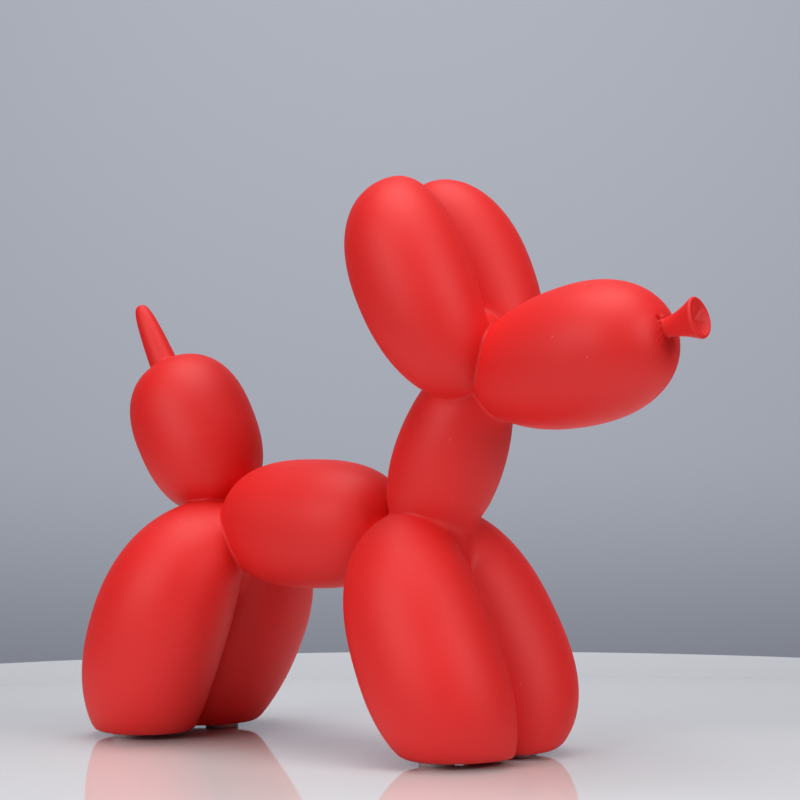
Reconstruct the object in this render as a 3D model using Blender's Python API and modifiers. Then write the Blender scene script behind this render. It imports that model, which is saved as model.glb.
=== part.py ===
"""Balloon dog ornament: one casting shaped like a dog twisted from a long party balloon, on four stick-on feet.

Metres, +Z up. The dog faces +X and is symmetric about Y = 0. The origin lies under the middle of its box,
on the surface that it stands on. Sideways the dog's own left legs and ear are at +Y.
"""
import math
from dataclasses import dataclass

import bmesh
import bpy
from mathutils import Vector

# The stick-on feet: clear discs under the flats of the legs
PAD_DIAMETER = 0.0120
PAD_THICKNESS = 0.0015
PAD_EDGE_RADIUS = 0.0004
PAD_GAP = 0.0003

# The twists, where the balloon is pinched. The hind one carries the others.
TWIST_HEIGHT = 0.0746
TWIST_TO_BODY_END = 0.0038
TWIST_TO_NECK_END = 0.0116

# The bubbles of the balloon, by their own length and thickness. LEAN is the angle of the axis up from +X in
# degrees, FULLNESS the exponent of the outline, and SWELL how much fatter the far end is than the middle.
# SEAT is where the pinched end lies, forward of its twist and above it.
BODY_LENGTH = 0.0701
BODY_DIAMETER = 0.0442
BODY_LEAN = 1.1
BODY_FULLNESS = 2.63
BODY_SWELL = -0.012

NECK_LENGTH = 0.0723
NECK_DIAMETER = 0.0366
NECK_LEAN = 66.3
NECK_FULLNESS = 2.04
NECK_SWELL = -0.113
NECK_SEAT = (0.0054, -0.0072)

SNOUT_LENGTH = 0.0749
SNOUT_DIAMETER = 0.0453
SNOUT_LEAN = 12.1
SNOUT_FULLNESS = 2.21
SNOUT_SWELL = 0.117
SNOUT_SEAT = (0.0008, -0.0010)

TAIL_LENGTH = 0.0575
TAIL_DIAMETER = 0.0427
TAIL_LEAN = 118.3
TAIL_FULLNESS = 2.42
TAIL_SWELL = 0.035
TAIL_SEAT = (-0.0045, 0.0057)

EAR_LENGTH = 0.0780
EAR_DIAMETER = 0.0394
EAR_LEAN = 114.5
EAR_FULLNESS = 2.19
EAR_SWELL = 0.062
EAR_SEAT = (0.0047, -0.0052)
EAR_SIDE = 0.0174
EAR_BOW = 0.0068

# The legs: SIDE is how far the middle of a leg stands out from the mid-plane, BOW how much less its ends do,
# SPREAD what its far end adds, and CUT how far below the flat of the foot the bubble would reach.
FRONT_LEG_DIAMETER = 0.0475
FRONT_LEG_LEAN = -64.9
FRONT_LEG_FULLNESS = 2.42
FRONT_LEG_SWELL = 0.050
FRONT_LEG_SEAT = (0.0012, 0.0048)
FRONT_LEG_SIDE = 0.0186
FRONT_LEG_BOW = 0.0165
FRONT_LEG_SPREAD = 0.0027
FRONT_LEG_CUT = 0.0060

HIND_LEG_DIAMETER = 0.0476
HIND_LEG_LEAN = -114.6
HIND_LEG_FULLNESS = 2.20
HIND_LEG_SWELL = -0.040
HIND_LEG_SEAT = (0.0020, 0.0070)
HIND_LEG_SIDE = 0.0214
HIND_LEG_BOW = 0.0236
HIND_LEG_SPREAD = -0.0023
HIND_LEG_CUT = 0.0159

FOOT_EDGE_RADIUS = 0.0035

# The fills: where the bubbles of a pair are pressed together at their twist, the casting is solid between them.
# Each fill lies in the mid-plane along its pair, before or behind it, and its seat is placed like a bubble's.
EAR_FILL_LENGTH = 0.0220
EAR_FILL_DIAMETER = 0.0140
EAR_FILL_SEAT = (0.0063, 0.0051)
FRONT_FILL_LENGTH = 0.0180
FRONT_FILL_DIAMETER = 0.0115
FRONT_FILL_SEAT = (0.0162, 0.0016)
HIND_FILL_LENGTH = 0.0240
HIND_FILL_DIAMETER = 0.0140
HIND_FILL_SEAT = (0.0028, -0.0050)
REAR_FILL_LENGTH = 0.0180
REAR_FILL_DIAMETER = 0.0100
REAR_FILL_SEAT = (0.0014, 0.0131)

# Where each pad sticks, forward and outward of the middle of its flat, in half lengths and half widths of it
LEFT_FRONT_PAD = (0.34, -0.20)
RIGHT_FRONT_PAD = (-0.40, 0.40)
LEFT_HIND_PAD = (0.56, 0.15)
RIGHT_HIND_PAD = (-0.08, 0.45)

# The mouthpiece at the end of the snout, and the unfilled tip of the balloon on the tail
NOZZLE_LENGTH = 0.0123
NOZZLE_NECK_DIAMETER = 0.0072
NOZZLE_RISE = 0.0009
NOZZLE_LEAN = 15.5
MOUTH_HEIGHT = 0.0136
MOUTH_WIDTH = 0.0120
MOUTH_DEPTH = 0.0026
LIP_RADIUS = 0.0006
FLARE_POWER = 2.2

TIP_LENGTH = 0.0243
TIP_DIAMETER = 0.0101
TIP_SETBACK = 0.0020
TIP_BLUNTNESS = 0.27

# Smoothness of the faceted solids
BUBBLE_SEGMENTS = 28
BUBBLE_RINGS = 15
LEG_RINGS = 17
EDGE_RINGS = 4
TURNED_STEPS = 20
PROFILE_POINTS = 7
SHARP_ANGLE = 35.0

FOOT_PLANE = PAD_THICKNESS + PAD_GAP


@dataclass
class Bubble:
    """One bubble: an egg of revolution on a straight axis, which a pair of bubbles bows sideways.

    Its values are those named at the top. A fullness of 2 gives an ellipse, and more a fuller outline.
    A station on its axis runs from -1 at the seat to 1 at the far end.
    """
    seat: Vector
    lean: float
    length: float
    diameter: float
    fullness: float = 2.0
    swell: float = 0.0
    side: float = 0.0
    bow: float = 0.0
    spread: float = 0.0

    def axis(self):
        return Vector((math.cos(math.radians(self.lean)), 0.0, math.sin(math.radians(self.lean))))

    def share(self, station):
        """The radius at a station, as a share of half the diameter."""
        outline = max(0.0, 1.0 - abs(station) ** self.fullness) ** (1.0 / self.fullness)
        return outline * (1.0 + self.swell * station)

    def centre(self, station):
        out = self.side + self.spread * station - self.bow * (1.0 - self.share(station))
        return self.seat + self.axis() * (self.length * (1.0 + station) / 2) + Vector((0.0, out, 0.0))

    def holds(self, point):
        """True for a point inside the bubble."""
        station = (point - self.seat).dot(self.axis()) * 2 / self.length - 1.0
        if abs(station) >= 1.0:
            return False
        return (point - self.centre(station)).length < self.share(station) * self.diameter / 2

    def end(self):
        return self.seat + self.axis() * self.length


def in_plane(forward, up):
    """A vector in the dog's mid-plane."""
    return Vector((forward, 0.0, up))


def wall_distance(bubble, start, direction):
    """How far the bubble's skin is from a point inside it, along a direction."""
    near, far = 0.0, bubble.diameter
    for _ in range(24):
        middle = (near + far) / 2
        if bubble.holds(start + direction * middle):
            near = middle
        else:
            far = middle
    return near


def round_ring(bubble, ring, angle):
    """A point of the plain bubble: ring 0 is its seat, BUBBLE_RINGS its far end."""
    latitude = math.pi * ring / BUBBLE_RINGS
    power = 2.0 / bubble.fullness
    station = -math.copysign(abs(math.cos(latitude)) ** power, math.cos(latitude))
    radius = bubble.share(station) * bubble.diameter / 2
    across = Vector((0.0, 1.0, 0.0)).cross(bubble.axis())
    sideways = Vector((0.0, 1.0, 0.0))
    return bubble.centre(station) + (across * math.cos(angle) + sideways * math.sin(angle)) * radius


def leg_ring(bubble, ring, angle):
    """A point of a leg: its rings turn level towards the ground, where it ends in a flat with a round edge."""
    level_rings = LEG_RINGS - EDGE_RINGS
    end_of_wall = FOOT_PLANE + FOOT_EDGE_RADIUS
    rise = -bubble.axis().z * bubble.length / 2
    if ring > level_rings:
        turn = math.pi / 2 * (ring - level_rings) / (EDGE_RINGS - 1)
        height = FOOT_PLANE + FOOT_EDGE_RADIUS * (1.0 - math.sin(turn))
        inset = FOOT_EDGE_RADIUS * (1.0 - math.cos(turn))
        level = 1.0
    else:
        share = ring / level_rings
        top = bubble.seat.z
        height = top - (top - end_of_wall) * share ** 1.5
        inset = 0.0
        level = share ** 2
    middle = bubble.centre((bubble.seat.z - height) / rise - 1.0)
    if ring in (0, LEG_RINGS):
        return middle if ring == 0 else Vector((middle.x, middle.y, FOOT_PLANE))
    normal = bubble.axis().lerp(Vector((0.0, 0.0, -1.0)), level).normalized()
    across = Vector((0.0, 1.0, 0.0)).cross(normal)
    direction = across * math.cos(angle) + Vector((0.0, 1.0, 0.0)) * math.sin(angle)
    return middle + direction * (wall_distance(bubble, middle, direction) - inset)


def body():
    seat = in_plane(0.0, TWIST_HEIGHT)
    return Bubble(seat, BODY_LEAN, BODY_LENGTH, BODY_DIAMETER, BODY_FULLNESS, BODY_SWELL)


def front_twist():
    return body().end() + body().axis() * TWIST_TO_BODY_END


def neck():
    seat = front_twist() + in_plane(*NECK_SEAT)
    return Bubble(seat, NECK_LEAN, NECK_LENGTH, NECK_DIAMETER, NECK_FULLNESS, NECK_SWELL)


def head_twist():
    return neck().end() - neck().axis() * TWIST_TO_NECK_END


def snout():
    seat = head_twist() + in_plane(*SNOUT_SEAT)
    return Bubble(seat, SNOUT_LEAN, SNOUT_LENGTH, SNOUT_DIAMETER, SNOUT_FULLNESS, SNOUT_SWELL)


def tail():
    seat = body().seat + in_plane(*TAIL_SEAT)
    return Bubble(seat, TAIL_LEAN, TAIL_LENGTH, TAIL_DIAMETER, TAIL_FULLNESS, TAIL_SWELL)


def ear():
    seat = head_twist() + in_plane(*EAR_SEAT)
    return Bubble(seat, EAR_LEAN, EAR_LENGTH, EAR_DIAMETER, EAR_FULLNESS, EAR_SWELL, EAR_SIDE, EAR_BOW)


def leg(seat, lean, diameter, fullness, swell, side, bow, spread, cut):
    """A leg bubble whose far end would reach cut below the flat of the foot."""
    length = (seat.z - FOOT_PLANE + cut) / -math.sin(math.radians(lean))
    return Bubble(seat, lean, length, diameter, fullness, swell, side, bow, spread)


def front_leg():
    seat = front_twist() + in_plane(*FRONT_LEG_SEAT)
    return leg(seat, FRONT_LEG_LEAN, FRONT_LEG_DIAMETER, FRONT_LEG_FULLNESS, FRONT_LEG_SWELL,
               FRONT_LEG_SIDE, FRONT_LEG_BOW, FRONT_LEG_SPREAD, FRONT_LEG_CUT)


def hind_leg():
    seat = body().seat + in_plane(*HIND_LEG_SEAT)
    return leg(seat, HIND_LEG_LEAN, HIND_LEG_DIAMETER, HIND_LEG_FULLNESS, HIND_LEG_SWELL,
               HIND_LEG_SIDE, HIND_LEG_BOW, HIND_LEG_SPREAD, HIND_LEG_CUT)


def fills():
    """The plain bubbles of resin that fill the pockets of each pair at its twist."""
    return {
        "ear": Bubble(head_twist() + in_plane(*EAR_FILL_SEAT), EAR_LEAN, EAR_FILL_LENGTH, EAR_FILL_DIAMETER),
        "front": Bubble(front_twist() + in_plane(*FRONT_FILL_SEAT), FRONT_LEG_LEAN,
                        FRONT_FILL_LENGTH, FRONT_FILL_DIAMETER),
        "hind": Bubble(body().seat + in_plane(*HIND_FILL_SEAT), HIND_LEG_LEAN,
                       HIND_FILL_LENGTH, HIND_FILL_DIAMETER),
        "rear": Bubble(body().seat + in_plane(*REAR_FILL_SEAT), HIND_LEG_LEAN,
                       REAR_FILL_LENGTH, REAR_FILL_DIAMETER),
    }


def pad_place(bubble, way, shares):
    """The middle of a pad's underside, on the ground."""
    forward, outward = shares
    ends = [leg_ring(bubble, LEG_RINGS - 1, angle).x for angle in (0.0, math.pi)]
    sides = [leg_ring(bubble, LEG_RINGS - 1, angle).y for angle in (math.pi / 2, -math.pi / 2)]
    x = (max(ends) + min(ends)) / 2 + forward * (max(ends) - min(ends)) / 2
    y = (max(sides) + min(sides)) / 2 + outward * (max(sides) - min(sides)) / 2
    return Vector((x, way * y, 0.0))


def new_collection(name):
    collection = bpy.data.collections.new(name)
    bpy.context.scene.collection.children.link(collection)
    return collection


def new_object(name, mesh, collection):
    thing = bpy.data.objects.new(name, mesh)
    collection.objects.link(thing)
    return thing


def make_cutter(thing):
    thing.hide_render = True
    thing.display_type = "WIRE"


def sphere_skin(name, rings, place, collection):
    """A sphere primitive whose points are moved to place(ring, angle), with its poles at the first and last ring."""
    shape = bmesh.new()
    bmesh.ops.create_uvsphere(shape, u_segments=BUBBLE_SEGMENTS, v_segments=rings, radius=1.0)
    for point in shape.verts:
        ring = round(math.acos(max(-1.0, min(1.0, point.co.z))) / math.pi * rings)
        point.co = place(ring, math.atan2(point.co.y, point.co.x))
    bmesh.ops.recalc_face_normals(shape, faces=shape.faces)
    mesh = bpy.data.meshes.new(name)
    shape.to_mesh(mesh)
    shape.free()
    return new_object(name, mesh, collection)


def bubble_object(name, bubble, collection, way=1, rings=BUBBLE_RINGS, ring_point=round_ring):
    def place(ring, angle):
        point = ring_point(bubble, ring, angle)
        return Vector((point.x, way * point.y, point.z))
    return sphere_skin(name, rings, place, collection)


def turned_object(name, profile, collection):
    """A profile of (radius, height) pairs, top to bottom, turned about Z by a Screw modifier."""
    mesh = bpy.data.meshes.new(name)
    edges = [(i, i + 1) for i in range(len(profile) - 1)]
    mesh.from_pydata([(radius, 0.0, height) for radius, height in profile], edges, [])
    thing = new_object(name, mesh, collection)
    screw = thing.modifiers.new("turn", "SCREW")
    screw.axis = "Z"
    screw.steps = TURNED_STEPS
    screw.render_steps = TURNED_STEPS
    screw.use_merge_vertices = True
    screw.merge_threshold = 0.00001
    screw.use_smooth_shade = True
    return thing


def arc(centre, radius, start, end, points):
    """Points (radius, height) on an arc of a turned profile, angles in degrees up from outwards."""
    angles = [math.radians(start + (end - start) * i / (points - 1)) for i in range(points)]
    return [(centre[0] + radius * math.cos(a), centre[1] + radius * math.sin(a)) for a in angles]


def stand_on_end(thing, bubble, lean, rise, squeeze=1.0):
    """Sets a turned thing on a bubble's far end, raised across its axis, with its own Z leaning by lean."""
    across = Vector((0.0, 1.0, 0.0)).cross(bubble.axis())
    thing.location = bubble.end() - across * rise
    thing.rotation_euler = (0.0, math.pi / 2 - math.radians(lean), 0.0)
    thing.scale = (1.0, squeeze, 1.0)


def nozzle_object(collection):
    """The mouthpiece: a short neck that flares into an oval lip round a shallow dish."""
    rim = MOUTH_HEIGHT / 2 - LIP_RADIUS
    neck_radius = NOZZLE_NECK_DIAMETER / 2
    dish = []
    for i in range(PROFILE_POINTS):
        share = i / PROFILE_POINTS
        dish.append((rim * share, NOZZLE_LENGTH - MOUTH_DEPTH * (1.0 - share ** 2)))
    lip = arc((rim, NOZZLE_LENGTH - LIP_RADIUS), LIP_RADIUS, 90.0, -30.0, 4)
    flare = []
    for i in range(1, PROFILE_POINTS):
        share = i / (PROFILE_POINTS - 1)
        radius = neck_radius + (lip[-1][0] - neck_radius) * (1.0 - share) ** FLARE_POWER
        flare.append((radius, lip[-1][1] * (1.0 - share)))
    root = [(neck_radius, -NOZZLE_LENGTH / 2), (0.0, -NOZZLE_LENGTH / 2)]
    thing = turned_object("nozzle_shape", dish + lip + flare + root, collection)
    stand_on_end(thing, snout(), NOZZLE_LEAN, NOZZLE_RISE, MOUTH_WIDTH / MOUTH_HEIGHT)


def tip_object(collection):
    """The unfilled tip of the balloon: a blunt spike, set a third of its length into the tail."""
    buried = TIP_LENGTH / 3
    profile = [(0.0, TIP_LENGTH)]
    for i in range(1, PROFILE_POINTS + 2):
        share = (i / (PROFILE_POINTS + 1)) ** 2
        profile.append((TIP_DIAMETER / 2 * share ** TIP_BLUNTNESS, TIP_LENGTH * (1.0 - share)))
    profile += [(TIP_DIAMETER / 2, -buried), (0.0, -buried)]
    thing = turned_object("tip_shape", profile, collection)
    stand_on_end(thing, tail(), TAIL_LEAN, TIP_SETBACK)


def colour(thing, name, base, roughness, alpha=1.0):
    material = bpy.data.materials.new(name)
    material.use_nodes = True
    shader = material.node_tree.nodes["Principled BSDF"]
    shader.inputs["Base Color"].default_value = (*base, 1.0)
    shader.inputs["Roughness"].default_value = roughness
    shader.inputs["Metallic"].default_value = 0.0
    shader.inputs["Alpha"].default_value = alpha
    thing.data.materials.clear()
    thing.data.materials.append(material)


def evaluated_copy(thing, name, collection):
    """The shape that a thing's modifiers give, as a plain mesh in place."""
    graph = bpy.context.evaluated_depsgraph_get()
    mesh = bpy.data.meshes.new_from_object(thing.evaluated_get(graph))
    mesh.transform(thing.matrix_world)
    return new_object(name, mesh, collection)


def casting_object(parts, shapes):
    """All bubbles, the mouthpiece and the tip grown into one solid."""
    first = bubble_object("body_shape", body(), shapes)
    grown = new_collection("grown on")
    for name, bubble in (("neck_shape", neck()), ("snout_shape", snout()), ("tail_shape", tail())):
        bubble_object(name, bubble, grown)
    for word, way in (("left", 1), ("right", -1)):
        bubble_object(word + "_ear_shape", ear(), grown, way)
        bubble_object(word + "_front_leg_shape", front_leg(), grown, way, LEG_RINGS, leg_ring)
        bubble_object(word + "_hind_leg_shape", hind_leg(), grown, way, LEG_RINGS, leg_ring)
    for word, bubble in fills().items():
        bubble_object(word + "_fill_shape", bubble, grown)
    nozzle_object(grown)
    tip_object(grown)
    join = first.modifiers.new("join", "BOOLEAN")
    join.operation = "UNION"
    join.solver = "EXACT"
    join.operand_type = "COLLECTION"
    join.collection = grown
    bpy.context.view_layer.update()
    casting = evaluated_copy(first, "casting", parts)
    for thing in list(grown.objects) + [first]:
        make_cutter(thing)
    first.modifiers.remove(join)
    casting.data.shade_smooth()
    casting.data.set_sharp_from_angle(angle=math.radians(SHARP_ANGLE))
    colour(casting, "matte red paint", (0.70, 0.022, 0.020), 0.5)
    return casting


def foot_pad_object(name, centre, parts):
    """One clear stick-on disc, its rim rounded at the ground."""
    outer = PAD_DIAMETER / 2
    rim = arc((outer - PAD_EDGE_RADIUS, PAD_EDGE_RADIUS), PAD_EDGE_RADIUS, 0.0, -90.0, 4)
    pad = turned_object(name, [(0.0, PAD_THICKNESS), (outer, PAD_THICKNESS)] + rim + [(0.0, 0.0)], parts)
    pad.location = centre
    colour(pad, name + " clear rubber", (0.85, 0.87, 0.88), 0.25, 0.5)
    return pad


def build():
    for thing in list(bpy.data.objects):
        bpy.data.objects.remove(thing)
    parts = new_collection("balloon dog")
    shapes = new_collection("shapes")
    casting = casting_object(parts, shapes)
    pads = [
        foot_pad_object("left_front_foot_pad", pad_place(front_leg(), 1, LEFT_FRONT_PAD), parts),
        foot_pad_object("right_front_foot_pad", pad_place(front_leg(), -1, RIGHT_FRONT_PAD), parts),
        foot_pad_object("left_hind_foot_pad", pad_place(hind_leg(), 1, LEFT_HIND_PAD), parts),
        foot_pad_object("right_hind_foot_pad", pad_place(hind_leg(), -1, RIGHT_HIND_PAD), parts),
    ]
    lengths = [point.co.x for point in casting.data.vertices]
    back_to_middle = (min(lengths) + max(lengths)) / 2
    for thing in [casting] + pads:
        thing.location.x -= back_to_middle


build()
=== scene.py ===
"""The looks of the balloon dog ornament: a matte red casting on four clear stick-on feet.

Metres, +Z up. The dog faces +X, its own left is at +Y, and the origin is on the floor under its middle.
"""

import math

import bmesh
import bpy
from mathutils import Matrix, Vector


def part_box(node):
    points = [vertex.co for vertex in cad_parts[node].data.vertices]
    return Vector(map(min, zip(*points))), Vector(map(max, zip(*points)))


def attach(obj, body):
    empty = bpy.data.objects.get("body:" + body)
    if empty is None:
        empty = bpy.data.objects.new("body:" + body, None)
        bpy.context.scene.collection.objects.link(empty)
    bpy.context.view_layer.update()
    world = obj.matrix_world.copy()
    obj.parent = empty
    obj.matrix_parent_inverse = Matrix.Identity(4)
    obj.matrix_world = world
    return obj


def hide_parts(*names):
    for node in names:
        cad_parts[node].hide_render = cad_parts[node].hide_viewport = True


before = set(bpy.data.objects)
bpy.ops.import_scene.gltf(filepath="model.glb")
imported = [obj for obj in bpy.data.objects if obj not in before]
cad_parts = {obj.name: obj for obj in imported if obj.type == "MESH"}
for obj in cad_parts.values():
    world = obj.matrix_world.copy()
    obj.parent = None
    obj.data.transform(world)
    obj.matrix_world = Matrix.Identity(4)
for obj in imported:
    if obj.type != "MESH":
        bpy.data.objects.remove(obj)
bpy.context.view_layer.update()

# Camera. It stands low in front of the dog's right shoulder and looks at the middle of its neck,
# and it leans by a fraction of a degree, as a camera held on a light stand does.
PHOTO_SIZE = 800
FOCAL_PIXELS = 2869.9
SENSOR_WIDTH = 36.0
CAMERA_TURN = math.radians(37.37)
CAMERA_RISE = math.radians(0.70)
CAMERA_ROLL = math.radians(-0.44)
CAMERA_DISTANCE = 0.960
AIM = Vector((0.0022, 0.0, 0.1177))

camera_turned = (
    Matrix.Rotation(CAMERA_TURN, 3, "Z")
    @ Matrix.Rotation(math.pi / 2 - CAMERA_RISE, 3, "X")
    @ Matrix.Rotation(CAMERA_ROLL, 3, "Z")
)
to_the_right, upwards, to_the_camera = camera_turned.transposed()
bpy.ops.object.camera_add(
    location=AIM + to_the_camera * CAMERA_DISTANCE, rotation=camera_turned.to_euler()
)
camera = bpy.context.object
camera.data.sensor_width = SENSOR_WIDTH
camera.data.lens = SENSOR_WIDTH * FOCAL_PIXELS / PHOTO_SIZE
bpy.context.scene.camera = camera

# The bubbles. The casting copies one long party balloon that was twisted into a dog: a body, a neck,
# a snout, a round tail, and ears and legs that come in pairs, each pinched where it meets the twist.
BUBBLE_SIDES = 96
BUBBLE_RINGS = 64

casting_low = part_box("casting")[0]
FOOT_PLANE = casting_low.z
FOOT_EDGE_RADIUS = 0.0027

REAR_TO_HIND_TWIST = 0.0512
TWIST_HEIGHT = 0.0746
TWIST_TO_BODY_END = 0.0038
TWIST_TO_NECK_END = 0.0116


def in_plane(forward, up):
    return Vector((forward, 0.0, up))


def along(lean):
    """The direction of an axis that leans up from +X by so many degrees."""
    return in_plane(math.cos(math.radians(lean)), math.sin(math.radians(lean)))


def blown_bubble(name, seat, lean, length, width, fullness, swell, side=0.0, bow=0.0, spread=0.0):
    """A sphere whose rings are drawn to the bubble's outline, set with its first pole at the seat.

    fullness is the exponent of the outline and swell fattens the far end. A bubble of a pair has its
    middle at side from the mid-plane, its ends nearer by bow, and its far end further out by spread.
    """
    bpy.ops.object.select_all(action="DESELECT")
    bpy.ops.mesh.primitive_uv_sphere_add(segments=BUBBLE_SIDES, ring_count=BUBBLE_RINGS, radius=1.0)
    bubble = bpy.context.object
    bubble.name = name
    bpy.ops.object.mode_set(mode="EDIT")
    cage = bmesh.from_edit_mesh(bubble.data)
    rings = {}
    for point in cage.verts:
        rings.setdefault(round(point.co.z, 4), []).append(point)
    for height, ring in rings.items():
        station = math.copysign(abs(height) ** (2.0 / fullness), height)
        outline = max(0.0, 1.0 - abs(station) ** fullness) ** (1.0 / fullness) * (1.0 + swell * station)
        round_radius = math.sqrt(max(1e-9, 1.0 - height * height))
        narrower = outline * width / 2 / round_radius
        out = side + spread * station - bow * (1.0 - outline)
        bpy.ops.mesh.select_all(action="DESELECT")
        for point in ring:
            point.select_set(True)
        cage.select_flush_mode()
        if len(ring) > 1:
            bpy.ops.transform.resize(value=(narrower, narrower, 1.0), center_override=(0.0, 0.0, 0.0))
        bpy.ops.transform.translate(value=(0.0, out, station * length / 2 - height))
    bpy.ops.object.mode_set(mode="OBJECT")
    bubble.location = seat + along(lean) * length / 2
    bubble.rotation_euler.y = math.pi / 2 - math.radians(lean)
    bpy.ops.object.transform_apply(location=True, rotation=True, scale=True)
    return bubble


def made_a_pair(bubble):
    """Adds the bubble's twin on the dog's other side."""
    mirror = bubble.modifiers.new("twin", "MIRROR")
    mirror.use_axis = (False, True, False)
    mirror.use_mirror_merge = False
    bpy.context.view_layer.objects.active = bubble
    bpy.ops.object.modifier_apply(modifier=mirror.name)
    return bubble


def pressed_flat(leg):
    """A leg ends in a flat, with a rounded edge, where the balloon would be pressed on the ground."""
    for point in leg.data.vertices:
        above = point.co.z - FOOT_PLANE
        if above < -FOOT_EDGE_RADIUS:
            point.co.z = FOOT_PLANE
        elif above < FOOT_EDGE_RADIUS:
            point.co.z = FOOT_PLANE + (above + FOOT_EDGE_RADIUS) ** 2 / (4 * FOOT_EDGE_RADIUS)
    return leg


def leg_length(seat, lean, cut):
    """How long a leg's bubble is, if it would reach cut below the flat of the foot."""
    return (seat.z - FOOT_PLANE + cut) / -math.sin(math.radians(lean))


hind_twist = in_plane(casting_low.x + REAR_TO_HIND_TWIST, TWIST_HEIGHT)

BODY_LEAN = 1.1
BODY_LENGTH = 0.0701
body = blown_bubble("body", hind_twist, BODY_LEAN, BODY_LENGTH, 0.0442, 2.63, -0.012)
front_twist = hind_twist + along(BODY_LEAN) * (BODY_LENGTH + TWIST_TO_BODY_END)

NECK_LEAN = 66.3
NECK_LENGTH = 0.0723
neck_seat = front_twist + in_plane(0.0054, -0.0072)
neck = blown_bubble("neck", neck_seat, NECK_LEAN, NECK_LENGTH, 0.0366, 2.04, -0.113)
head_twist = neck_seat + along(NECK_LEAN) * (NECK_LENGTH - TWIST_TO_NECK_END)

SNOUT_LEAN = 12.1
SNOUT_LENGTH = 0.0749
snout_seat = head_twist + in_plane(0.0008, -0.0010)
snout = blown_bubble("snout", snout_seat, SNOUT_LEAN, SNOUT_LENGTH, 0.0453, 2.21, 0.117)
snout_end = snout_seat + along(SNOUT_LEAN) * SNOUT_LENGTH

TAIL_LEAN = 118.3
TAIL_LENGTH = 0.0575
tail_seat = hind_twist + in_plane(-0.0045, 0.0057)
tail = blown_bubble("tail", tail_seat, TAIL_LEAN, TAIL_LENGTH, 0.0427, 2.42, 0.035)
tail_end = tail_seat + along(TAIL_LEAN) * TAIL_LENGTH

EAR_LEAN = 114.5
ears = made_a_pair(blown_bubble(
    "ears", head_twist + in_plane(0.0047, -0.0052), EAR_LEAN, 0.0780, 0.0394, 2.19, 0.062,
    side=0.0174, bow=0.0068,
))

FRONT_LEG_LEAN = -64.9
front_leg_seat = front_twist + in_plane(0.0012, 0.0048)
front_legs = made_a_pair(pressed_flat(blown_bubble(
    "front_legs", front_leg_seat, FRONT_LEG_LEAN, leg_length(front_leg_seat, FRONT_LEG_LEAN, 0.0060),
    0.0475, 2.42, 0.050, side=0.0186, bow=0.0165, spread=0.0027,
)))

HIND_LEG_LEAN = -114.6
hind_leg_seat = hind_twist + in_plane(0.0020, 0.0070)
hind_legs = made_a_pair(pressed_flat(blown_bubble(
    "hind_legs", hind_leg_seat, HIND_LEG_LEAN, leg_length(hind_leg_seat, HIND_LEG_LEAN, 0.0159),
    0.0476, 2.20, -0.040, side=0.0214, bow=0.0236, spread=-0.0023,
)))

# The fills. Where a pair of bubbles is pressed together at its twist, the casting is solid between them:
# a plug of the same resin in the mid-plane, before or behind the pair.
ear_fill = blown_bubble(
    "ear_fill", head_twist + in_plane(0.0063, 0.0051), EAR_LEAN, 0.0188, 0.0140, 2.0, 0.0
)
front_fill = blown_bubble(
    "front_fill", front_twist + in_plane(0.0162, 0.0016), FRONT_LEG_LEAN, 0.0180, 0.0115, 2.0, 0.0
)
hind_fill = blown_bubble(
    "hind_fill", hind_twist + in_plane(0.0028, -0.0050), HIND_LEG_LEAN, 0.0240, 0.0140, 2.0, 0.0
)
rear_fill = blown_bubble(
    "rear_fill", hind_twist + in_plane(0.0014, 0.0131), HIND_LEG_LEAN, 0.0180, 0.0100, 2.0, 0.0
)

# The tip of the tail. It is the end of the balloon that was left without air: a blunt rubbery spike that
# stands on the far end of the round tail, cast in one with it.
TIP_SIDES = 48
TIP_STEPS = 20
TIP_LENGTH = 0.0243
TIP_WIDTH = 0.0101
TIP_SETBACK = 0.0020
TIP_BLUNTNESS = 0.27
TIP_BURIED = 0.0070


def across_axis(lean):
    """The upward direction square to an axis."""
    return in_plane(-math.sin(math.radians(lean)), math.cos(math.radians(lean)))


def drawn_up(name, sides, profile):
    """A round thing drawn up from a disc, with one extrusion for each later (radius, height)."""
    bpy.ops.object.select_all(action="DESELECT")
    radius, height = profile[0]
    bpy.ops.mesh.primitive_circle_add(
        vertices=sides, radius=radius, fill_type="NGON", location=(0.0, 0.0, height)
    )
    thing = bpy.context.object
    thing.name = name
    bpy.ops.object.transform_apply(location=True, rotation=True, scale=True)
    bpy.ops.object.mode_set(mode="EDIT")
    bpy.ops.mesh.select_all(action="SELECT")
    for next_radius, next_height in profile[1:]:
        bpy.ops.mesh.extrude_region_move(
            TRANSFORM_OT_translate={"value": (0.0, 0.0, next_height - height)}
        )
        factor = next_radius / radius
        bpy.ops.transform.resize(value=(factor, factor, 1.0), center_override=(0.0, 0.0, next_height))
        radius, height = next_radius, next_height
    bpy.ops.mesh.poke()
    bpy.ops.mesh.select_all(action="SELECT")
    bpy.ops.mesh.normals_make_consistent(inside=False)
    bpy.ops.object.mode_set(mode="OBJECT")
    return thing


def stood_on(thing, point, lean):
    """Stands a drawn-up thing at a point, with its own Z leaning up from +X by so many degrees."""
    thing.location = point
    thing.rotation_euler.y = math.pi / 2 - math.radians(lean)
    bpy.ops.object.transform_apply(location=True, rotation=True, scale=True)
    return thing


tip_profile = [(TIP_WIDTH / 2, -TIP_BURIED)]
for step in range(TIP_STEPS):
    left_to_go = (1.0 - step / TIP_STEPS) ** 2
    tip_profile.append((TIP_WIDTH / 2 * left_to_go ** TIP_BLUNTNESS, TIP_LENGTH * (1.0 - left_to_go)))
tip = stood_on(
    drawn_up("tip", TIP_SIDES, tip_profile), tail_end + across_axis(TAIL_LEAN) * TIP_SETBACK, TAIL_LEAN
)

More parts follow.
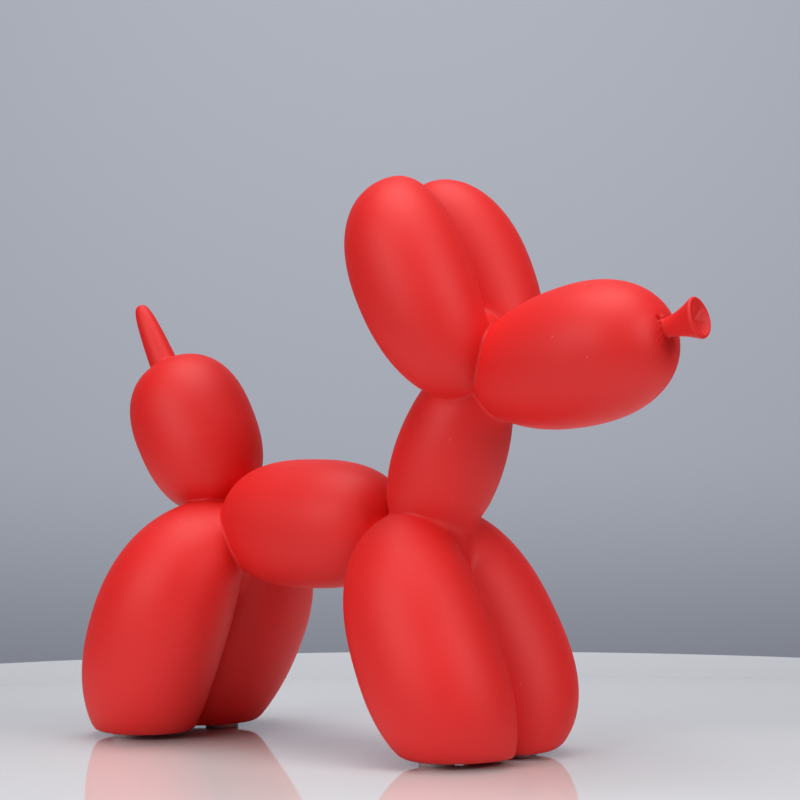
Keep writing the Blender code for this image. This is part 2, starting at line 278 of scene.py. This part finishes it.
# The casting's skin. The bubbles, the fills and the tip are one solid of cast resin, so they are grown
# into one closed skin here. Paint fills the creases between them to a narrow round valley, and the
# corners where three bubbles meet are filled wider.
GRAIN_SIZE = 0.0005
CREASE_PASSES = 8
CORNERS = (
    ((0.0315, 0.0150, 0.1188), 0.009, 60),
    ((0.0285, 0.0040, 0.0720), 0.012, 250),
    ((0.0400, 0.0000, 0.1440), 0.009, 60),
    ((-0.0640, 0.0000, 0.0570), 0.010, 100),
)
SKIN_TRIANGLES = 150000


def smoothed(skin, name, passes, weight=None):
    """Smooths a skin, or only where a weight function of the place is above 0."""
    smooth = skin.modifiers.new(name, "SMOOTH")
    smooth.factor = 0.5
    smooth.iterations = passes
    if weight:
        group = skin.vertex_groups.new(name=name)
        for point in skin.data.vertices:
            share = weight(point.co)
            if share > 0.0:
                group.add([point.index], min(1.0, share), "REPLACE")
        smooth.vertex_group = group.name
    bpy.ops.object.modifier_apply(modifier=smooth.name)
    skin.vertex_groups.clear()


bpy.ops.object.select_all(action="DESELECT")
fills = (ear_fill, front_fill, hind_fill, rear_fill)
for part in (body, neck, snout, tail, ears, front_legs, hind_legs, tip, *fills):
    part.select_set(True)
bpy.context.view_layer.objects.active = body
bpy.ops.object.join()
casting = bpy.context.object
casting.name = "painted_casting"
casting.data.name = "painted_casting"

grown = casting.modifiers.new("grown together", "REMESH")
grown.mode = "VOXEL"
grown.voxel_size = GRAIN_SIZE
bpy.ops.object.modifier_apply(modifier=grown.name)
smoothed(casting, "paint in the creases", CREASE_PASSES)
for corner, reach, passes in CORNERS:
    smoothed(casting, "paint in a corner", passes, lambda place: 2.0 - 2.0 * math.dist(
        (place.x, abs(place.y), place.z), corner
    ) / reach)
thinned = casting.modifiers.new("thinned", "DECIMATE")
thinned.ratio = SKIN_TRIANGLES / (2 * len(casting.data.polygons))
bpy.ops.object.modifier_apply(modifier=thinned.name)

# The mouthpiece. It is the rolled end of the balloon, cast with the rest: a short neck on the end of the
# snout that flares to an oval lip round a shallow dish, where the rubber is pinched shut.
MOUTH_LEAN = 14.2
MOUTH_RISE = 0.0013
MOUTH_SIDES = 192
MOUTH_LENGTH = 0.0123
MOUTH_HEIGHT = 0.0136
MOUTH_WIDTH = 0.0120
MOUTH_DEPTH = 0.0015
ROOT_RADIUS = 0.0032
ROOT_DEPTH = 0.0030
LIP_RADIUS = 0.0007
LIP_STEPS = 10
FLARE_STEPS = 22
FLARE_POWER = 1.6
DISH_STEPS = 24
PINCHES = (
    (-2.50, 0.16, 0.00075), (-2.90, 0.13, 0.00060), (-2.10, 0.20, 0.00045), (0.35, 0.22, 0.00040),
    (1.15, 0.20, 0.00030), (2.05, 0.25, 0.00035), (-0.75, 0.25, 0.00030),
)
PUCKER_DEPTH = 0.0006
PUCKER_SHARE = 0.22
LIP_UNEVENNESS = 0.00018
FINE_REACH = 0.0110
FINE_CUTS = 4
FINE_PASSES = 10
SEAM_PASSES = 12
SEAM_REACH = 0.0005
FINE_FADE = 4.0

mouth_root = snout_end + across_axis(SNOUT_LEAN) * MOUTH_RISE
mouth_axis = along(MOUTH_LEAN)
mouth_up = across_axis(MOUTH_LEAN)


def place_on_snout(point):
    """A point's distance from the mouthpiece's axis, its place along it, and its turn round it.

    The turn is 0 at the top and grows towards the dog's right.
    """
    offset = point - mouth_root
    forward = offset.dot(mouth_axis)
    aside = offset - mouth_axis * forward
    return aside.length, forward, math.atan2(-aside.y, aside.dot(mouth_up))


def near_the_root(place):
    """Above 0 on the end of the snout, and 1 from a little further in."""
    return FINE_FADE * (1.0 - (place - mouth_root).length / FINE_REACH)


def on_the_seam(place):
    """Above 0 where the mouthpiece comes out of the snout."""
    distance, forward, _ = place_on_snout(place)
    return 2.0 - max(abs(distance - ROOT_RADIUS), abs(forward)) / SEAM_REACH


bpy.ops.object.mode_set(mode="EDIT")
bpy.ops.mesh.select_mode(type="FACE")
bpy.ops.mesh.select_all(action="DESELECT")
for face in bmesh.from_edit_mesh(casting.data).faces:
    if (face.calc_center_median() - mouth_root).length < FINE_REACH:
        face.select_set(True)
bpy.ops.mesh.subdivide(number_cuts=FINE_CUTS)
bpy.ops.object.mode_set(mode="OBJECT")
smoothed(casting, "rounded facets", FINE_PASSES, near_the_root)

rim = MOUTH_HEIGHT / 2 - LIP_RADIUS
lip_middle = MOUTH_LENGTH - LIP_RADIUS
lip = []
for step in range(LIP_STEPS + 1):
    turn = math.radians(-30.0 + 150.0 * step / LIP_STEPS)
    lip.append((rim + LIP_RADIUS * math.cos(turn), lip_middle + LIP_RADIUS * math.sin(turn)))
mouth_profile = [(ROOT_RADIUS, -ROOT_DEPTH)]
for step in range(FLARE_STEPS):
    share = step / FLARE_STEPS
    flare_radius = ROOT_RADIUS + (lip[0][0] - ROOT_RADIUS) * share ** FLARE_POWER
    mouth_profile.append((flare_radius, lip[0][1] * share))
mouth_profile += lip
for step in range(1, DISH_STEPS):
    share = 1.0 - step / DISH_STEPS
    mouth_profile.append((lip[-1][0] * share, lip[-1][1] - MOUTH_DEPTH * (1.0 - share ** 2)))
mouthpiece = drawn_up("mouthpiece", MOUTH_SIDES, mouth_profile)
for point in mouthpiece.data.vertices:
    distance = math.hypot(point.co.x, point.co.y)
    turn = math.atan2(-point.co.y, -point.co.x)
    share = min(1.0, distance / rim)
    if point.co.z > lip[0][1] - MOUTH_DEPTH and distance < lip[-1][0]:
        for pinch_turn, pinch_width, pinch_depth in PINCHES:
            off = math.remainder(turn - pinch_turn, 2 * math.pi) / pinch_width
            point.co.z -= pinch_depth * math.exp(-off * off) * math.sin(math.pi * share) ** 0.7
        point.co.z -= PUCKER_DEPTH * math.exp(-((share / PUCKER_SHARE) ** 2))
    flared = max(0.0, point.co.z / MOUTH_LENGTH) ** 2
    unevenness = 1.0 + LIP_UNEVENNESS * flared * math.sin(3 * turn + 0.8) / max(distance, ROOT_RADIUS)
    point.co.x *= unevenness
    point.co.y *= unevenness * MOUTH_WIDTH / MOUTH_HEIGHT
stood_on(mouthpiece, mouth_root, MOUTH_LEAN)

bpy.ops.object.select_all(action="DESELECT")
casting.select_set(True)
bpy.context.view_layer.objects.active = casting
cast_on = casting.modifiers.new("cast on", "BOOLEAN")
cast_on.operation = "UNION"
cast_on.object = mouthpiece
cast_on.solver = "EXACT"
bpy.ops.object.modifier_apply(modifier=cast_on.name)
bpy.data.objects.remove(mouthpiece)
smoothed(casting, "softened seam", SEAM_PASSES, on_the_seam)

# The gathers. The rubber was pinched to a knot at the end of the snout, and the casting copies it: fine
# folds run out from the mouthpiece, with one deep dimple and a few small bumps on the dog's right.
GATHER_REACH = 0.0105
GATHER_FRONT = 0.0012
FOLD_COUNT = 19
FOLD_HEIGHT = 0.00009
FOLD_MIDDLE = 0.0048
FOLD_SPREAD = 0.0015
SPOTS = (
    (0.0048, 42.0, 0.00050, -0.0012),
    (0.0040, 38.0, 0.00045, -0.0011),
    (0.0041, 62.0, 0.00040, 0.0004),
    (0.0038, 14.0, 0.00060, 0.0006),
    (0.0038, 84.0, 0.00040, 0.0003),
)


def spot(distance, turn, spot_out, spot_turn, size):
    """1 in the middle of a round spot on the snout's end, fading to 0 within twice its size."""
    across = distance * math.cos(turn) - spot_out * math.cos(math.radians(spot_turn))
    up = distance * math.sin(turn) - spot_out * math.sin(math.radians(spot_turn))
    return math.exp(-(across * across + up * up) / (size * size))


for point in casting.data.vertices:
    distance, forward, turn = place_on_snout(point.co)
    if distance > GATHER_REACH or not -GATHER_REACH < forward < GATHER_FRONT:
        continue
    wave = FOLD_COUNT * turn + 1.9 * math.sin(2 * turn + 0.6) + 0.8 * math.sin(5 * turn)
    fold = math.cos(wave) * (0.65 + 0.35 * math.sin(3 * turn + 1.0))
    window = math.exp(-((distance - FOLD_MIDDLE) / FOLD_SPREAD) ** 2)
    lift = FOLD_HEIGHT * fold * window
    for spot_out, spot_turn, size, height in SPOTS:
        lift += height * spot(distance, turn, spot_out, spot_turn, size)
    point.co += mouth_axis * lift
bpy.ops.object.shade_smooth_by_angle(angle=math.radians(50.0))
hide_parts("casting")
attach(casting, "root")

# The paint. One coat of satin red was sprayed over the whole casting: even in colour, with a fine dry
# grain, a faint drift in depth from bubble to bubble and a few pale dust specks.
DRIFT_SIZE = 0.030
PAINT_GRAIN_SIZE = 0.00045
SPECK_SPACING = 0.012
SPECK_SIZE = 0.020
SPECK_PALENESS = 0.40
GRAIN_DEPTH = 0.00005


class Wire:
    """One output of a shader node. It takes part in Python sums, which add Math nodes."""

    def __init__(self, tree, socket):
        self.tree = tree
        self.socket = socket

    def node(self, kind, settings, inputs, output=0):
        """Adds a node, sets it up, fills its sockets with values or wires, and gives one output."""
        node = self.tree.nodes.new(kind)
        for name, value in settings.items():
            setattr(node, name, value)
        for name, value in inputs.items():
            if isinstance(value, Wire):
                self.tree.links.new(value.socket, node.inputs[name])
            else:
                node.inputs[name].default_value = value
        return Wire(self.tree, node.outputs[output])

    def maths(self, operation, first, second):
        return self.node("ShaderNodeMath", {"operation": operation}, {0: first, 1: second})

    def __add__(self, other):
        return self.maths("ADD", self, other)

    __radd__ = __add__

    def __mul__(self, other):
        return self.maths("MULTIPLY", self, other)

    __rmul__ = __mul__

    def __lt__(self, other):
        return self.maths("LESS_THAN", self, other)

    def __gt__(self, other):
        return self.maths("GREATER_THAN", self, other)

    def noise(self, size, detail):
        """Cloudy noise from 0 to 1 with features of about this size in metres."""
        inputs = {"Vector": self, "Scale": 1.0 / size, "Detail": detail}
        return self.node("ShaderNodeTexNoise", {}, inputs)

    def tinted(self, dark, light):
        """A colour between two others, by this wire's value from 0 to 1."""
        settings = {"data_type": "RGBA"}
        return self.node("ShaderNodeMix", settings, {0: self, 6: dark, 7: light}, output=2)


def new_finish(name):
    """An empty material: its shader, and the wire of its Object coordinates."""
    material = bpy.data.materials.new(name)
    material.use_nodes = True
    tree = material.node_tree
    shader = tree.nodes["Principled BSDF"]
    place = Wire(tree, tree.nodes.new("ShaderNodeTexCoord").outputs["Object"])
    return material, shader, place


def feed(shader, name, wire):
    wire.tree.links.new(wire.socket, shader.inputs[name])


def satin_red():
    material, shader, place = new_finish("satin_red_paint")
    drift = place.noise(DRIFT_SIZE, 2.0)
    grain = place.noise(PAINT_GRAIN_SIZE, 3.0)
    cells = {"Vector": place, "Scale": 1.0 / SPECK_SPACING}
    nearness = place.node("ShaderNodeTexVoronoi", {}, cells, "Distance")
    specks = nearness < SPECK_SIZE
    depth = drift * 0.7 + grain * 0.3
    paint = depth.tinted((0.76, 0.0095, 0.0085, 1.0), (0.81, 0.0125, 0.0110, 1.0))
    settings = {"data_type": "RGBA"}
    mixed = {0: specks * SPECK_PALENESS, 6: paint, 7: (0.86, 0.36, 0.30, 1.0)}
    feed(shader, "Base Color", place.node("ShaderNodeMix", settings, mixed, 2))
    feed(shader, "Roughness", 0.50 + grain * 0.10 + drift * 0.04)
    relief = {"Strength": 0.30, "Distance": GRAIN_DEPTH, "Height": grain}
    feed(shader, "Normal", place.node("ShaderNodeBump", {}, relief))
    return material


casting.data.materials.clear()
casting.data.materials.append(satin_red())

# The feet. Four clear rubber bumpers, peeled from a sheet and stuck by hand under the flats of the legs,
# each a disc with a rounded rim and a slightly hollow underside.
PAD_SIDES = 64
PAD_RIM_STEPS = 4
PAD_RIM = 0.0005
PAD_RING = 0.0013
PAD_STEP = 0.0006
PAD_HOLLOW = 0.0002


def clear_rubber():
    material, shader, place = new_finish("clear_rubber")
    smear = place.noise(0.004, 2.0)
    feed(shader, "Base Color", smear.tinted((0.95, 0.96, 0.98, 1.0), (0.98, 0.98, 0.99, 1.0)))
    feed(shader, "Roughness", 0.16 + smear * 0.16)
    shader.inputs["Subsurface Weight"].default_value = 0.15
    shader.inputs["Subsurface Radius"].default_value = (0.002, 0.002, 0.002)
    shader.inputs["Subsurface Scale"].default_value = 1.0
    shader.inputs["IOR"].default_value = 1.49
    return material


def bumper(name, low, high):
    """A bumper in the box of its node, up to the flat of the foot."""
    middle = (low + high) / 2
    bpy.ops.object.select_all(action="DESELECT")
    bpy.ops.mesh.primitive_cylinder_add(
        vertices=PAD_SIDES, radius=(high.x - low.x) / 2, depth=FOOT_PLANE,
        location=(middle.x, middle.y, FOOT_PLANE / 2),
    )
    pad = bpy.context.object
    pad.name = name
    bpy.ops.object.transform_apply(location=True, rotation=True, scale=True)
    bpy.ops.object.mode_set(mode="EDIT")
    bpy.ops.mesh.select_mode(type="FACE")
    for face in bmesh.from_edit_mesh(pad.data).faces:
        face.select_set(face.normal.z < -0.9)
    bpy.ops.mesh.inset(thickness=PAD_RING)
    bpy.ops.mesh.inset(thickness=PAD_STEP)
    bpy.ops.transform.translate(value=(0.0, 0.0, PAD_HOLLOW))
    bpy.ops.mesh.select_mode(type="EDGE")
    bpy.ops.mesh.select_all(action="DESELECT")
    reach = (high.x - low.x) / 2 * 0.98
    for edge in bmesh.from_edit_mesh(pad.data).edges:
        edge.select_set(all(
            math.hypot(point.co.x - middle.x, point.co.y - middle.y) > reach and point.co.z < PAD_RIM
            for point in edge.verts
        ))
    bpy.ops.mesh.bevel(offset=PAD_RIM, segments=PAD_RIM_STEPS, affect="EDGES")
    bpy.ops.object.mode_set(mode="OBJECT")
    bpy.ops.object.shade_smooth_by_angle(angle=math.radians(40.0))
    return pad


rubber = clear_rubber()
for corner in ("left_front", "right_front", "left_hind", "right_hind"):
    node = corner + "_foot_pad"
    pad = bumper(corner + "_bumper", *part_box(node))
    pad.data.materials.append(rubber)
    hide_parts(node)
    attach(pad, "root")

# The floor. A plain pale round tabletop, polished, whose far edge lies a third of a metre behind the dog.
FLOOR_RADIUS = 0.42
FLOOR_BEHIND = 0.335
FLOOR_THICKNESS = 0.02
FLOOR_EDGE = 0.003
FLOOR_EDGE_STEPS = 6
FLOOR_SIDES = 256

level_back = Vector((-math.sin(CAMERA_TURN), math.cos(CAMERA_TURN), 0.0))


def pale_tabletop():
    material, shader, place = new_finish("pale_tabletop")
    cloud = place.noise(0.20, 1.0)
    feed(shader, "Base Color", cloud.tinted((0.790, 0.788, 0.788, 1.0), (0.810, 0.808, 0.808, 1.0)))
    shader.inputs["Roughness"].default_value = 0.05
    return material


bpy.ops.object.select_all(action="DESELECT")
bpy.ops.mesh.primitive_cylinder_add(
    vertices=FLOOR_SIDES, radius=FLOOR_RADIUS, depth=FLOOR_THICKNESS,
    location=level_back * (FLOOR_BEHIND - FLOOR_RADIUS) + Vector((0.0, 0.0, -FLOOR_THICKNESS / 2)),
)
floor = bpy.context.object
floor.name = "tabletop"
rounded = floor.modifiers.new("rounded edge", "BEVEL")
rounded.width = FLOOR_EDGE
rounded.segments = FLOOR_EDGE_STEPS
bpy.ops.object.modifier_apply(modifier=rounded.name)
bpy.ops.object.transform_apply(location=True, rotation=True, scale=True)
bpy.ops.object.shade_smooth_by_angle(angle=math.radians(40.0))
floor.data.materials.append(pale_tabletop())

# The backdrop. A plain blue-grey wall well behind the table, with painted shade in its colour: darker
# towards the floor, and a little darker towards the top.
WALL_BEHIND = 1.5
WALL_SIZE = 6.0
WALL_FOOT = -0.20
WALL_SHADE_TOP = 0.06
WALL_TOP = 0.43


def painted_shade_backdrop():
    material, shader, place = new_finish("painted_shade_backdrop")
    # Painted shade: the wall's colour darkens from WALL_SHADE_TOP down to WALL_FOOT, and a little from
    # WALL_SHADE_TOP up to WALL_TOP, in place of the fall of the light on the wall.
    height = place.node("ShaderNodeSeparateXYZ", {}, {"Vector": place}, "Z")
    shade = {"Value": height, "From Min": WALL_FOOT, "From Max": WALL_SHADE_TOP}
    above = {"Value": height, "From Min": WALL_SHADE_TOP, "From Max": WALL_TOP}
    rising = place.node("ShaderNodeMapRange", {"interpolation_type": "SMOOTHSTEP"}, shade)
    low = rising.tinted((0.250, 0.265, 0.322, 1.0), (0.420, 0.445, 0.512, 1.0))
    higher = place.node("ShaderNodeMapRange", {}, above)
    feed(shader, "Base Color", higher.tinted(low, (0.370, 0.392, 0.450, 1.0)))
    shader.inputs["Roughness"].default_value = 0.9
    return material


bpy.ops.object.select_all(action="DESELECT")
bpy.ops.mesh.primitive_plane_add(size=WALL_SIZE)
wall = bpy.context.object
wall.name = "backdrop"
wall.rotation_euler = (math.pi / 2, 0.0, CAMERA_TURN)
wall.location = level_back * WALL_BEHIND
bpy.ops.object.transform_apply(location=True, rotation=True, scale=True)
wall.data.materials.append(painted_shade_backdrop())


# The light. Soft studio boxes: one overhead, one on each side of the camera, and one behind the dog that
# lights the wall alone. The room round them is nearly dark.
def softbox(name, across, up, towards, size, power, facing=None):
    """A square area light, placed across, above and in front of the point that the camera looks at.

    It faces that point, or in a direction of its own.
    """
    place = AIM + to_the_right * across + Vector((0.0, 0.0, up)) - level_back * towards
    bpy.ops.object.light_add(type="AREA", location=place)
    light = bpy.context.object
    light.name = name
    light.rotation_euler = (-facing if facing else place - AIM).to_track_quat("Z", "Y").to_euler()
    light.data.size = size
    light.data.energy = power


softbox("top_softbox", 0.0, 1.40, 0.05, 1.2, 18.8)
softbox("left_softbox", -1.00, 0.60, 1.05, 1.0, 12.0)
softbox("right_softbox", 1.10, 0.70, 0.85, 0.8, 9.5)
softbox("wall_softbox", 0.0, 0.75, -0.30, 0.7, 11.2, level_back + Vector((0.0, 0.0, -0.27)))
world = bpy.data.worlds.new("grey_room")
bpy.context.scene.world = world
world.use_nodes = True
world.node_tree.nodes["Background"].inputs["Color"].default_value = (0.80, 0.84, 0.90, 1.0)
world.node_tree.nodes["Background"].inputs["Strength"].default_value = 0.04
bpy.context.scene.view_settings.view_transform = "Standard"
